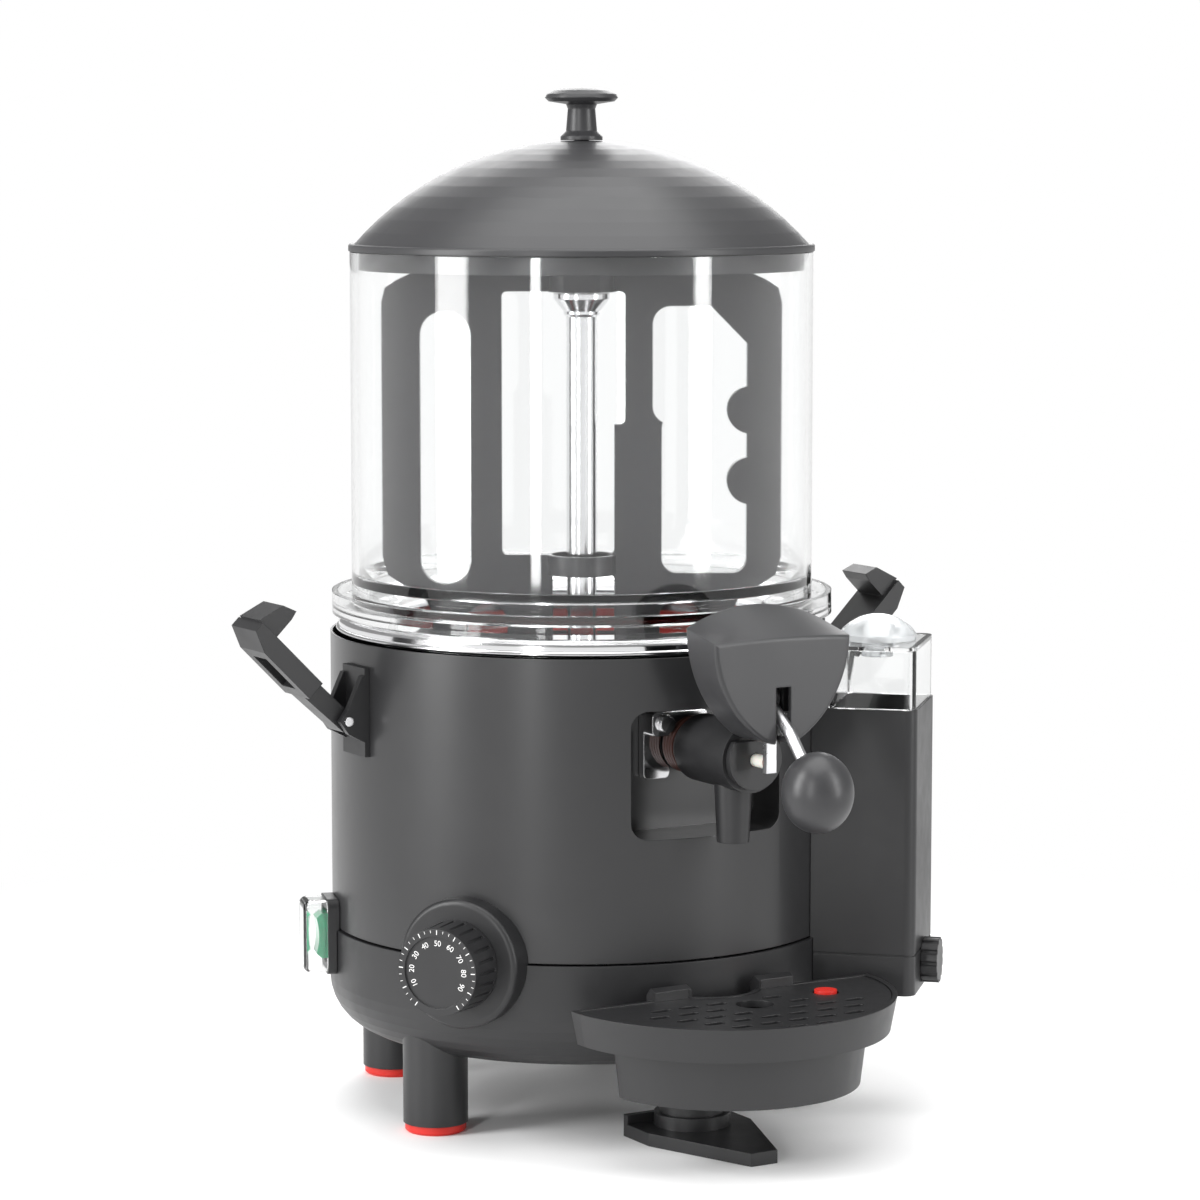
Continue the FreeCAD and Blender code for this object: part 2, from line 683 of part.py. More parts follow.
def tap_seal():
    start = RECESS_Y + 7
    length = BARREL_START + 10 - start
    ribs = []
    for i in range(4):
        y = start + length * (i + 0.5) / 4
        ribs.append(rod(15.5, y - 1.1, y + 0.9, 0, TAP_Z))
    body = joined([rod(13.5, start, start + length, 0, TAP_Z)] + ribs)
    return body.cut(rod(PORT_BORE_R, 60, SPOUT_Y, 0, TAP_Z))


def tap_clamp():
    """The steel block that clamps the barrel to the basin's outlet."""
    y0 = RECESS_Y + SEAT
    body = round_block(-26, 8, y0, y0 + 14, TAP_Z + 6, TAP_Z + 19, 3)
    body = body.fuse(round_block(-26, -10, y0, y0 + 5, TAP_Z - 18, TAP_Z + 10, 3))
    screw = rod(4.5, y0 + 14, y0 + 17, -18, TAP_Z + 12.5)
    body = body.fuse(screw).removeSplitter()
    return body.cut(rod(15.5 + RUN, 60, SPOUT_Y, 0, TAP_Z))


def tap_spout():
    z1 = TAP_Z - BARREL_R + 3
    outer = Part.makeCone(SPOUT_R, SPOUT_R - 1.5, z1 - SPOUT_BOTTOM_Z, V(0, -SPOUT_Y, z1), -Z_AXIS)
    outer = outer.cut(rod(BARREL_R, BARREL_START, BARREL_END + 24, 0, TAP_Z))
    bore = cylinder(SPOUT_R - 3.5, SPOUT_BOTTOM_Z - 1, TAP_Z, 0, -SPOUT_Y)
    return outer.cut(bore)


def tap_end_cap():
    y = BARREL_END
    cap = rod(BARREL_R - 2, y, y + 4, 0, TAP_Z)
    cap = cap.cut(block(-40, 40, y - 2, y + 10, TAP_Z + 10, TAP_Z + 40))
    return cap.cut(rod(3.5, BARREL_START, BALL_Y, 0, TAP_Z))


def tap_piston():
    """Head, stem and fork; it slides towards the front to let the drink fall to the spout."""
    back = SPOUT_Y - 14
    head = rod(PISTON_R - RUN, back, SPOUT_Y, 0, TAP_Z)
    groove = rod(PISTON_R, back + 5.5, back + 8.5, 0, TAP_Z)
    groove = groove.cut(rod(PISTON_R - 2.6, back, SPOUT_Y, 0, TAP_Z))
    stem = rod(3.5 - SHAFT_RUN, SPOUT_Y - 2, LEVER_Y + 1, 0, TAP_Z)
    return joined([head.cut(groove), stem])


def piston_ring():
    ring = Part.makeTorus(PISTON_R - 1.35, 1.2, V(0, -SPOUT_Y + 7, TAP_Z), Y_AXIS)
    return ring


def tap_lever():
    hub = pin(5.0, 5.0, LEVER_Y, LEVER_Z)
    foot = block(-3, 3, LEVER_Y + 1.3, LEVER_Y + 5, TAP_Z - 5, LEVER_Z)
    start = V(0, -LEVER_Y, LEVER_Z)
    knee = V(0, -SHIELD_FRONT_Y - 6, LEVER_Z - 16)
    end = V(0, -BALL_Y, BALL_Z)
    arms = []
    for a, b in ((start, knee), (knee, end)):
        arms.append(Part.makeCylinder(3.2, (b - a).Length, a, b - a))
    arms.append(Part.makeSphere(3.2, knee))
    body = joined([hub, foot] + arms)
    body = body.cut(lever_ball_solid(0.0))
    return body.cut(pin(2.5 + SHAFT_RUN, 20, LEVER_Y, LEVER_Z))


def lever_ball_solid(grow):
    ball = Part.makeSphere(BALL_R + grow, V(0, -BALL_Y, BALL_Z))
    matrix = FreeCAD.Matrix()
    matrix.scale(V(1, 1, 1.12))
    matrix.A34 = BALL_Z * (1 - 1.12)
    return ball.transformGeometry(matrix)


def lever_pin():
    return pin(2.5, 9.5, LEVER_Y, LEVER_Z)


def shield_ring(y, peak, brow, inset):
    """An arched brow, sides that draw in to the chin, and a rounded chin."""
    w = SHIELD_HALF_W - inset
    chin_w = SHIELD_CHIN_W - inset
    chin = SHIELD_CHIN_Z + inset
    brow -= inset
    corner = V(w, -y, brow)
    side = V(w - 4.0, -y, (brow + chin) / 2 + 6)
    foot = V(chin_w, -y, chin + 5)
    def mirrored(p):
        return V(-p.x, p.y, p.z)
    edges = [Part.Arc(mirrored(corner), V(0, -y, peak - inset), corner),
             Part.Arc(corner, side, foot),
             Part.Arc(foot, V(0, -y, chin), mirrored(foot)),
             Part.Arc(mirrored(foot), mirrored(side), mirrored(corner))]
    return Part.Wire([e.toShape() for e in edges])


def tap_shield():
    t = SHIELD_T
    outer = Part.makeLoft([shield_ring(SHIELD_BACK_Y, SHIELD_PEAK_Z, SHIELD_BROW_Z + 6, 0),
                           shield_ring(SHIELD_FRONT_Y, SHIELD_BROW_Z + 1, SHIELD_BROW_Z, 0)], True, True)
    front = [e for e in outer.Edges if e.BoundBox.YMax < -SHIELD_FRONT_Y + 0.1]
    outer = outer.makeFillet(SHIELD_ROUND, front)
    inner = Part.makeLoft([shield_ring(SHIELD_BACK_Y - 1, SHIELD_PEAK_Z, SHIELD_BROW_Z + 6, t),
                           shield_ring(SHIELD_FRONT_Y - t, SHIELD_BROW_Z + 1, SHIELD_BROW_Z, t)],
                          True, True)
    shell = outer.cut(inner)
    web = block(-9, 9, SHIELD_BACK_Y - 10, BARREL_END, LEVER_Z + 12, SHIELD_PEAK_Z - 16)
    bridge = block(-9, 9, SHIELD_BACK_Y - 10, SHIELD_BACK_Y + 8, SHIELD_PEAK_Z - 20, SHIELD_PEAK_Z - 8)
    shell = joined([shell, web, bridge])
    slot = block(-4.5, 4.5, SHIELD_BACK_Y, SHIELD_FRONT_Y + 30, SHIELD_CHIN_Z - 5, SHIELD_CHIN_Z + 30)
    return shell.cut(slot)


# The side water box, built at the front and then turned round the body
def box_outline(half_w, out, z0, z1, r):
    body = round_block(-half_w, half_w, CASING_R - 20, out, z0, z1, r, "Z")
    return body


def against_casing(shape):
    return shape.cut(cylinder(CASING_R + SEAT, 0, 400)).cut(housing_envelope(SEAT))


def water_box():
    outer = box_outline(BOX_HALF_W, BOX_OUT, BOX_BOTTOM_Z, BOX_TOP_Z, 6)
    groove = box_outline(BOX_HALF_W + 5, BOX_OUT + 5, BOX_SEAM_Z - 0.5, BOX_SEAM_Z + 0.5, 6)
    core = box_outline(BOX_HALF_W - 0.6, BOX_OUT - 0.6, BOX_SEAM_Z - 1, BOX_SEAM_Z + 1, 5)
    outer = outer.cut(groove.cut(core))
    cavity = round_block(-BOX_HALF_W + BOX_T, BOX_HALF_W - BOX_T, CASING_R + 4, BOX_OUT - BOX_T,
                         BOX_BOTTOM_Z + BOX_T, BOX_TOP_Z + 1, 4, "Z")
    outer = against_casing(outer.cut(cavity))
    lug = block(-8, 8, CASING_R - 2, CASING_R + 6, 150, 162).cut(cylinder(CASING_R, 0, 400))
    bore = rod(5.0 + SHAFT_RUN, BOX_OUT - 6, BOX_OUT + 6, 0, DRAIN_Z)
    return outer.fuse(lug).removeSplitter().cut(bore)


def level_window():
    z0 = BOX_TOP_Z
    outer = round_block(-BOX_HALF_W + 1, BOX_HALF_W - 1, CASING_R + 3, BOX_OUT - 1, z0, GLASS_TOP_Z,
                        5, "Z")
    inner = round_block(-BOX_HALF_W + 4, BOX_HALF_W - 4, CASING_R + 6, BOX_OUT - 4, z0 - 1,
                        GLASS_TOP_Z - 2.5, 3, "Z")
    hole = cylinder(9, GLASS_TOP_Z - 4, GLASS_TOP_Z + 1, 0, -(CASING_R + BOX_OUT) / 2)
    return outer.cut([inner, hole])


def water_cap():
    y = (CASING_R + BOX_OUT) / 2
    z = GLASS_TOP_Z + SEAT
    dome = Part.makeSphere(26, V(0, -y, z - 12), Z_AXIS, 0, 90, 360)
    dome = dome.common(cylinder(21, z, z + 20, 0, -y))
    stem = cylinder(9 - RUN, z - 9, z, 0, -y)
    return dome.fuse(stem).removeSplitter()


def drain_cap():
    y0 = BOX_OUT + SEAT
    body = rod(DRAIN_R, y0, y0 + 9, 0, DRAIN_Z)
    grips = []
    for i in range(12):
        a = 2 * math.pi * i / 12
        grips.append(rod(1.4, y0 - 1, y0 + 10, DRAIN_R * math.cos(a), DRAIN_Z + DRAIN_R * math.sin(a)))
    stem = rod(5.0, BOX_OUT - BOX_T, y0, 0, DRAIN_Z)
    return body.cut(grips).fuse(stem).removeSplitter()


# The thermostat and the switch
def dial_hole():
    return about_axis(rod(SLEEVE_R, CASING_R - 29, CASING_R + 20, 0, SEAM_Z), DIAL_ANGLE)


def switch_hole():
    hole = block(-SWITCH_HALF_W + 3, SWITCH_HALF_W - 3, CASING_R - 29, CASING_R + 20,
                 SWITCH_Z - SWITCH_HALF_H + 5, SWITCH_Z + SWITCH_HALF_H - 5)
    return about_axis(hole, SWITCH_ANGLE)


def dial_bezel():
    body = rod(BEZEL_R, CASING_R - 11, BEZEL_OUT, 0, SEAM_Z)
    body = body.makeFillet(3.0, [e for e in body.Edges if len(e.Vertexes) == 1
                                 and e.BoundBox.YMax < -BEZEL_OUT + 0.1])
    body = against_casing(body)
    sleeve = rod(SLEEVE_R - RUN, CASING_R - 11, CASING_R + 6, 0, SEAM_Z)
    body = body.fuse(sleeve).removeSplitter()
    return body.cut(rod(STEM_R + RUN, CASING_R - 40, BEZEL_OUT + 20, 0, SEAM_Z))


def thermostat():
    box = block(-20, 20, CASING_R - 43, CASING_R - 11, SEAM_Z - 18, SEAM_Z + 18)
    return box.cut(rod(STEM_R + SHAFT_RUN, CASING_R - 29, CASING_R, 0, SEAM_Z))


def dial_knob():
    y0 = BEZEL_OUT + SEAT
    body = Part.makeCone(DIAL_R + 1, DIAL_R, DIAL_DEPTH, V(0, -y0, SEAM_Z), -Y_AXIS)
    dish = rod(DIAL_R - 4, y0 + DIAL_DEPTH - 1, y0 + DIAL_DEPTH + 1, 0, SEAM_Z)
    grips = []
    for i in range(24):
        a = 2 * math.pi * i / 24
        grips.append(rod(0.9, y0 + 2, y0 + DIAL_DEPTH - 4, (DIAL_R + 0.6) * math.cos(a),
                         SEAM_Z + (DIAL_R + 0.6) * math.sin(a)))
    stem = rod(STEM_R, CASING_R - 23, y0 + 1, 0, SEAM_Z)
    return body.cut([dish] + grips).fuse(stem).removeSplitter()


def switch_bezel():
    w = SWITCH_HALF_W
    h = SWITCH_HALF_H
    body = round_block(-w, w, CASING_R - 11, SWITCH_OUT, SWITCH_Z - h, SWITCH_Z + h, 5)
    body = against_casing(body)
    inner = block(-w + 4, w - 4, CASING_R - 40, SWITCH_OUT + 15, SWITCH_Z - h + 6, SWITCH_Z + h - 6)
    liner = block(-w + 3, w - 3, CASING_R - 27, CASING_R + 1, SWITCH_Z - h + 5, SWITCH_Z + h - 5)
    return body.fuse(liner).removeSplitter().cut(inner)


def switch_body():
    half = SWITCH_HALF_W - 4.2
    back = CASING_R - 29
    body = block(-half, half, back, back + 20, SWITCH_Z - 14.6, SWITCH_Z + 14.6)
    return body.cut(block(-8, 8, back + 12, back + 30, SWITCH_Z - 13, SWITCH_Z + 13))


def switch_rocker():
    y = ROCKER_OUT
    arc = Part.makeCylinder(15.0, 13.0, V(-6.5, -y + 8, SWITCH_Z), X_AXIS)
    body = arc.common(block(-7, 7, y - 9.5, y + 8, SWITCH_Z - 12.5, SWITCH_Z + 12.5))
    dent = Part.makeCylinder(34.0, 20.0, V(-10, -y - 36, SWITCH_Z), X_AXIS)
    trunnions = pin(1.5, SWITCH_HALF_W - 4 - SEAT, y - 8, SWITCH_Z)
    return body.cut(dent).fuse(trunnions).removeSplitter()


def switch_boot():
    y = SWITCH_OUT
    w = SWITCH_HALF_W - 1
    h = SWITCH_HALF_H - 1
    outer = round_block(-w, w, y, y + BOOT_H, SWITCH_Z - h, SWITCH_Z + h, 6)
    outer = outer.makeFillet(4, [e for e in outer.Edges if e.BoundBox.YMax < -y - BOOT_H + 0.1])
    inner = round_block(-w + 1.2, w - 1.2, y - 1, y + BOOT_H - 1.2, SWITCH_Z - h + 1.2,
                        SWITCH_Z + h - 1.2, 5)
    return outer.cut(inner)


# The latches, shown thrown open, built at the front and then turned
def latch_bracket():
    w = LATCH_HALF_W
    y0 = CASING_R
    z = LATCH_PIN_Z
    cheeks = []
    for x0 in (-w + 4, w - 8):
        cheeks.append(prism_x([(y0 - 5, z - 16), (LATCH_PIN_Y, z - 7), (LATCH_PIN_Y + 5, z),
                               (LATCH_PIN_Y, z + 7), (y0 + 4, z + 24), (y0 - 5, z + 24)],
                              x0, x0 + 4))
    plate = block(-w + 4, w - 4, y0 - 5, y0 + 2.5, z - 20, z + 28)
    body = joined(cheeks + [plate]).cut(cylinder(CASING_R, 0, 400))
    return body.cut(pin(2.5, 30, LATCH_PIN_Y, z))


def latch_pin():
    return pin(2.5, LATCH_HALF_W - 3, LATCH_PIN_Y, LATCH_PIN_Z)


def latch_lever():
    """Drawn upright and then leant out about its pin, as it stands when it is thrown open."""
    w = LATCH_HALF_W - 9.0
    y = LATCH_PIN_Y
    z = LATCH_PIN_Z
    tongue = prism_x([(y - 5, z - 4), (y + 5, z - 4), (y + 7, z + 30), (y - 4, z + 30)], -w, w)
    plate = prism_x([(y - 4, z + 27), (y + 7, z + 27), (y + 7, z + LATCH_LENGTH - 12),
                     (y + 2, z + LATCH_LENGTH), (y - 4, z + LATCH_LENGTH)], -w - 7, w + 7)
    hook_z = RIM_TOP_Z + SEAT + FLANGE_T + LIP_H + SLACK
    hook = prism_x([(y - 4, hook_z), (y - 4, hook_z + 14), (FLANGE_R - 6, hook_z + 9),
                    (FLANGE_R - 9, hook_z + 1), (FLANGE_R - 4, hook_z)], -w - 4, w + 4)
    cut = prism_x([(y + 3, z + 34), (y + 9, z + 34), (y + 9, z + 58), (y + 3, z + 58)], -w, w)
    body = joined([tongue, plate, hook]).cut(cut)
    body = body.cut(pin(2.5 + SHAFT_RUN, 30, y, z))
    body.rotate(V(0, -y, z), X_AXIS, LATCH_LEAN)
    return body


# The drip tray hooks over two ledges in front of the pillar
def tray_outline(inset, back):
    """Half the width of a crescent, its ends' front edge and the front of its arc."""
    w = TRAY_HALF_W - 1.3 * inset
    ends = back + max(TRAY_END - 0.5 * inset, 2.0)
    return w, -ends, -(TRAY_FRONT_Y - inset)


def crescent(inset, back, z0, z1, draft=0.0):
    """A straight back, short blunt ends and one arc round the front."""
    def ring(more, z):
        w, ends, front = tray_outline(inset + more, back)
        arc = Part.Arc(V(w, ends, z), V(0, front, z), V(-w, ends, z)).toShape()
        lines = [Part.makeLine(V(-w, ends, z), V(-w, -back, z)),
                 Part.makeLine(V(-w, -back, z), V(w, -back, z)),
                 Part.makeLine(V(w, -back, z), V(w, ends, z))]
        return Part.Wire([arc] + lines)
    if draft == 0.0:
        return Part.Face(ring(0.0, z0)).extrude(V(0, 0, z1 - z0))
    return Part.makeLoft([ring(draft, z0), ring(0.0, z1)], True, True)


def pillar_notch(grow, z0, z1):
    return cylinder(COLLAR_R + 6 + grow, z0, z1, 0, -FOOT_CIRCLE_R - 14)


def drip_tray():
    back = TRAY_BACK_Y
    t = TRAY_T
    upper = crescent(0, back, TRAY_SHELF_Z, TRAY_TOP_Z, TRAY_DRAFT)
    lower = crescent(14, back + 12, TRAY_BOTTOM_Z, TRAY_SHELF_Z, TRAY_DRAFT)
    body = upper.fuse(lower)
    body = body.cut(pillar_notch(0, 0, 100))
    seat = crescent(t, back + t, TRAY_TOP_Z - GRILLE_T - 0.5 - SEAT, TRAY_TOP_Z + 40)
    seat = seat.cut(pillar_notch(t, 0, 100))
    deep = crescent(t + 4, back + t + 3, TRAY_SHELF_Z + t, TRAY_TOP_Z)
    deep = deep.cut(pillar_notch(t + 3, 0, 100))
    well = crescent(14 + TRAY_DRAFT + t, back + 12 + t, TRAY_BOTTOM_Z + t, TRAY_TOP_Z)
    well = well.cut(pillar_notch(t + 3, 0, 100))
    arms = []
    for side in (-1, 1):
        x = side * HOOK_X
        z = TONGUE_Z
        arm = prism_x([(back + 4, z), (back + 4, TRAY_TOP_Z + 4), (back - 2, TRAY_TOP_Z + 6),
                       (HOUSING_R + 1.5, TRAY_TOP_Z + 2), (HOUSING_R + 1.5, z + TONGUE_T),
                       (HOUSING_R - 20, z + TONGUE_T), (HOUSING_R - 20, z)],
                      x - HOOK_HALF_W, x + HOOK_HALF_W)
        arms.append(arm)
    body = joined([body] + arms)
    return body.cut([seat, deep, well])


def drip_grille():
    t = TRAY_T + RUN
    z1 = TRAY_TOP_Z - 0.5
    z0 = z1 - GRILLE_T
    plate = crescent(t, TRAY_BACK_Y + t, z0, z1)
    plate = plate.cut(pillar_notch(t, 0, 100))
    cuts = []
    for row in range(6):
        y = TRAY_BACK_Y + 22 + row * 13
        half = (TRAY_HALF_W - 14) * math.sqrt(max(0.0, 1 - (row + 1.0) / 7))
        for i in range(-5, 6):
            x = i * 17.0 + (8.5 if row % 2 else 0.0)
            clear_of_float = math.hypot(x - FLOAT_X, y - TRAY_BACK_Y - FLOAT_OUT) > 15
            clear_of_hole = math.hypot(x, y - SPOUT_Y - 22) > 17
            clear_of_notch = math.hypot(x, y - FOOT_CIRCLE_R - 14) > COLLAR_R + 15
            if abs(x) + 6 < half and clear_of_float and clear_of_hole and clear_of_notch:
                cuts.append(round_block(x - 6, x + 6, y - 2.5, y + 2.5, z0 - 1, z1 + 1, 2.4, "Z"))
    cuts.append(cylinder(10, z0 - 1, z1 + 1, 0, -SPOUT_Y - 22))
    cuts.append(cylinder(FLOAT_R + 1, z0 - 1, z1 + 1, FLOAT_X, -TRAY_BACK_Y - FLOAT_OUT))
    return plate.cut(cuts)


def tray_float():
    x = FLOAT_X
    y = -TRAY_BACK_Y - FLOAT_OUT
    z0 = TRAY_BOTTOM_Z + TRAY_T + SEAT
    disc = cylinder(FLOAT_R + 4, z0, z0 + 8, x, y)
    stem = cylinder(FLOAT_R, z0 + 8, TRAY_TOP_Z + 1, x, y)
    return disc.fuse(stem).removeSplitter()


# Small fixed pieces inside and behind
def cable_gland():
    nut = Part.makeCylinder(GLAND_R + 3, 6, V(0, HOUSING_R - 1, GLAND_Z), Y_AXIS)
    flange = Part.makeCylinder(GLAND_R + 5, 3, V(0, HOUSING_R - 1, GLAND_Z), Y_AXIS)
    body = joined([nut, flange]).cut(housing_envelope(0.0))
    body = joined([body, gland_neck(0.0)])
    return body.cut(Part.makeCylinder(GLAND_BORE_R, 40, V(0, HOUSING_R - 20, GLAND_Z), Y_AXIS))


def casing_screws():
    screws = []
    for degrees, shank in zip(SCREW_ANGLES, screw_shanks(-SHAFT_RUN)):
        head = rod(3.2, CASING_R, CASING_R + 1.8, 0, SEAM_Z + 14)
        screws.append(shank.fuse(about_axis(head, degrees)).removeSplitter())
    return Part.makeCompound(screws)


def build():
    keep("lower_housing", lower_housing())
    keep("foot_pads", foot_pads())
    keep("front_stabiliser", stabiliser())
    keep("upper_casing", upper_casing())
    keep("tap_recess", tap_recess())
    keep("heating_basin", heating_basin())
    keep("water_jacket", water_jacket())
    keep("heating_element", heating_element())
    keep("column_tube", column_tube())
    keep("column_bushes", column_bushes())
    keep("drive_shaft", drive_shaft())
    keep("drive_hub", about_axis(drive_hub(), PADDLE_TURN))
    keep("drive_gear", drive_gear())
    keep("motor_pinion", motor_pinion())
    keep("motor_plate", motor_plate())
    keep("motor_can", motor_can())
    keep("motor_screws", motor_screws())
    keep("paddle", about_axis(paddle(), PADDLE_TURN))
    keep("bowl", bowl())
    keep("bowl_gasket", bowl_gasket())
    keep("lid_dome", lid_dome())
    keep("lid_knob", lid_knob())
    keep("tap_barrel", tap_barrel())
    keep("tap_seal", tap_seal())
    keep("tap_clamp", tap_clamp())
    keep("tap_spout", tap_spout())
    keep("tap_end_cap", tap_end_cap())
    keep("tap_piston", tap_piston())
    keep("piston_ring", piston_ring())
    keep("tap_lever", tap_lever())
    keep("lever_ball", lever_ball_solid(0.0))
    keep("lever_pin", lever_pin())
    keep("tap_shield", tap_shield())
    for name, shape in (("water_box", water_box()), ("level_window", level_window()),
                        ("water_cap", water_cap()), ("drain_cap", drain_cap())):
        keep(name, about_axis(shape, BOX_ANGLE))
    for name, shape in (("dial_bezel", dial_bezel()), ("thermostat", thermostat()),
                        ("dial_knob", dial_knob())):
        keep(name, about_axis(shape, DIAL_ANGLE))
    for name, shape in (("switch_bezel", switch_bezel()), ("switch_body", switch_body()),
                        ("switch_rocker", switch_rocker()), ("switch_boot", switch_boot())):
        keep(name, about_axis(shape, SWITCH_ANGLE))
    for side, degrees in LATCH_ANGLES.items():
        keep("latch_bracket_" + side, about_axis(latch_bracket(), degrees))
        keep("latch_pin_" + side, about_axis(latch_pin(), degrees))
        keep("latch_lever_" + side, about_axis(latch_lever(), degrees))
    keep("drip_tray", drip_tray())
    keep("drip_grille", drip_grille())
    keep("tray_float", tray_float())
    keep("cable_gland", cable_gland())
    keep("casing_screws", casing_screws())


def write_all():
    os.makedirs("parts", exist_ok=True)
    for name, shape in PARTS.items():
        if not shape.isValid() or shape.Volume <= 0:
            raise ValueError(name + " is not a sound solid")
        print(name, len(shape.Solids), "solids,", round(shape.Volume / 1000.0, 2), "cm3")
        shape.exportStep(os.path.join("parts", name + ".step"))


build()
write_all()
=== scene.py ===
import json
import math

import bpy
from mathutils import Matrix, Vector


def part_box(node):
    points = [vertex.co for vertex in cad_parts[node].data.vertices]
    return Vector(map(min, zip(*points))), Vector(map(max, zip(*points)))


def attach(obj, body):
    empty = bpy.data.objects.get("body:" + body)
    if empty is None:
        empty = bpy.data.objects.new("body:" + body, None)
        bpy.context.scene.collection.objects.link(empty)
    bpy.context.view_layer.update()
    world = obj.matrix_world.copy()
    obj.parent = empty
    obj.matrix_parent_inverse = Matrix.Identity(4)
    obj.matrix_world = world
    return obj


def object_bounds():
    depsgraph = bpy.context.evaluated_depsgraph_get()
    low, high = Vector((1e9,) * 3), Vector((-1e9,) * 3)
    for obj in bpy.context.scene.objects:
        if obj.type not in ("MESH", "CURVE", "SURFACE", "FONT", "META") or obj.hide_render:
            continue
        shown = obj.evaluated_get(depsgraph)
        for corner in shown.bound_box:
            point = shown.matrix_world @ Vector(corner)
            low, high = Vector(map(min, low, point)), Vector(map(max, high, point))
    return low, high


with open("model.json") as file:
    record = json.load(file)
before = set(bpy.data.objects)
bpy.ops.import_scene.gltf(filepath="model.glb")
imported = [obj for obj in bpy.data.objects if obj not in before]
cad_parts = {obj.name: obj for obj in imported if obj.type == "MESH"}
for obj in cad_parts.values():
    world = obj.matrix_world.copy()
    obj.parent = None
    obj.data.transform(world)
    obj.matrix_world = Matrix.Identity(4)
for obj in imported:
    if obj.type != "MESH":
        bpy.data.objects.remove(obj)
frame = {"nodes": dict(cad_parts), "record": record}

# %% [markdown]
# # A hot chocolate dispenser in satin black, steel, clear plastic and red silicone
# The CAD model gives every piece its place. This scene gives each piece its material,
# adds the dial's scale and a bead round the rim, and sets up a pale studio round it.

CAD_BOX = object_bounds()
LOW, HIGH = Vector(CAD_BOX[0]), Vector(CAD_BOX[1])
MM = 0.001
CAMERA_AZIMUTH = -30.0
CAMERA_DISTANCE = 2.20
CAMERA_HEIGHT = 0.53
print("CAD box", [round(v, 3) for v in (*LOW, *HIGH)])


# %% [markdown]
# ## Shared effects
# Grain, handling marks and turned lines are node groups with sockets, so that one effect
# serves many materials. Each group gives only a roughness, a mask or a normal; the shader
# stays in the material.

# %% A small kit for node trees
EDGE_SAMPLES = 4


def link(tree, out_socket, in_socket):
    tree.links.new(out_socket, in_socket)


def new_group(name, inputs, outputs):
    """A shader node group with float inputs (name, default) and outputs (name, kind)."""
    tree = bpy.data.node_groups.new(name, "ShaderNodeTree")
    for label, value in inputs:
        socket = tree.interface.new_socket(label, in_out="INPUT", socket_type="NodeSocketFloat")
        socket.default_value = value
    for label, kind in outputs:
        tree.interface.new_socket(label, in_out="OUTPUT", socket_type=kind)
    return tree, tree.nodes.new("NodeGroupInput"), tree.nodes.new("NodeGroupOutput")


def noise(tree, coords, scale, detail=3.0, rough=0.55):
    node = tree.nodes.new("ShaderNodeTexNoise")
    node.inputs["Detail"].default_value = detail
    node.inputs["Roughness"].default_value = rough
    link(tree, coords, node.inputs["Vector"])
    if isinstance(scale, (int, float)):
        node.inputs["Scale"].default_value = scale
    else:
        link(tree, scale, node.inputs["Scale"])
    return node


def soft_edge(tree):
    """A bevel node, which rounds the edges of a piece in its shading only."""
    node = tree.nodes.new("ShaderNodeBevel")
    node.samples = EDGE_SAMPLES
    return node


def math_node(tree, operation, a, b=0.5):
    node = tree.nodes.new("ShaderNodeMath")
    node.operation = operation
    for value, socket in ((a, node.inputs[0]), (b, node.inputs[1])):
        if isinstance(value, (int, float)):
            socket.default_value = value
        else:
            link(tree, value, socket)
    return node.outputs[0]


# %% [markdown]
# Moulded plastic has a fine leathery grain, and its edges are never quite sharp.

# %% Moulded grain: a fine leathery bump with rounded edges
GRAIN_DEPTH = 0.0001


def make_grain():
    tree, given, out = new_group(
        "moulded_grain", [("Scale", 900.0), ("Strength", 0.12), ("Edge", 0.0006)],
        [("Normal", "NodeSocketVector")])
    coords = tree.nodes.new("ShaderNodeTexCoord").outputs["Object"]
    fine = noise(tree, coords, given.outputs["Scale"], 2.0)
    edge = soft_edge(tree)
    link(tree, given.outputs["Edge"], edge.inputs["Radius"])
    bump = tree.nodes.new("ShaderNodeBump")
    bump.inputs["Distance"].default_value = GRAIN_DEPTH
    link(tree, given.outputs["Strength"], bump.inputs["Strength"])
    link(tree, fine.outputs["Fac"], bump.inputs["Height"])
    link(tree, edge.outputs["Normal"], bump.inputs["Normal"])
    link(tree, bump.outputs["Normal"], out.inputs["Normal"])
    return tree


# %% [markdown]
# Hands leave patches that are a little rougher or smoother than the rest.

# %% Handling marks: a soft mask that lifts or lowers roughness in patches
WIDE_SHARE = 0.65
SMALL_SHARE = 0.35
SMALL_SCALE = 95.0
MASK_LOW = 0.35
MASK_HIGH = 0.65


def make_smudge():
    tree, given, out = new_group("handling_marks", [("Scale", 14.0), ("Low", 0.3), ("High", 0.45)],
                                 [("Roughness", "NodeSocketFloat"), ("Mask", "NodeSocketFloat")])
    coords = tree.nodes.new("ShaderNodeTexCoord").outputs["Object"]
    wide = noise(tree, coords, given.outputs["Scale"], 4.0)
    small = noise(tree, coords, SMALL_SCALE)
    total = math_node(tree, "ADD",
                      math_node(tree, "MULTIPLY", wide.outputs["Fac"], WIDE_SHARE),
                      math_node(tree, "MULTIPLY", small.outputs["Fac"], SMALL_SHARE))
    span = tree.nodes.new("ShaderNodeMapRange")
    span.inputs["From Min"].default_value = MASK_LOW
    span.inputs["From Max"].default_value = MASK_HIGH
    link(tree, total, span.inputs["Value"])
    link(tree, given.outputs["Low"], span.inputs["To Min"])
    link(tree, given.outputs["High"], span.inputs["To Max"])
    link(tree, span.outputs["Result"], out.inputs["Roughness"])
    link(tree, total, out.inputs["Mask"])
    return tree


# %% [markdown]
# Steel that was turned or drawn has lines as fine as hairs round its upright axis.

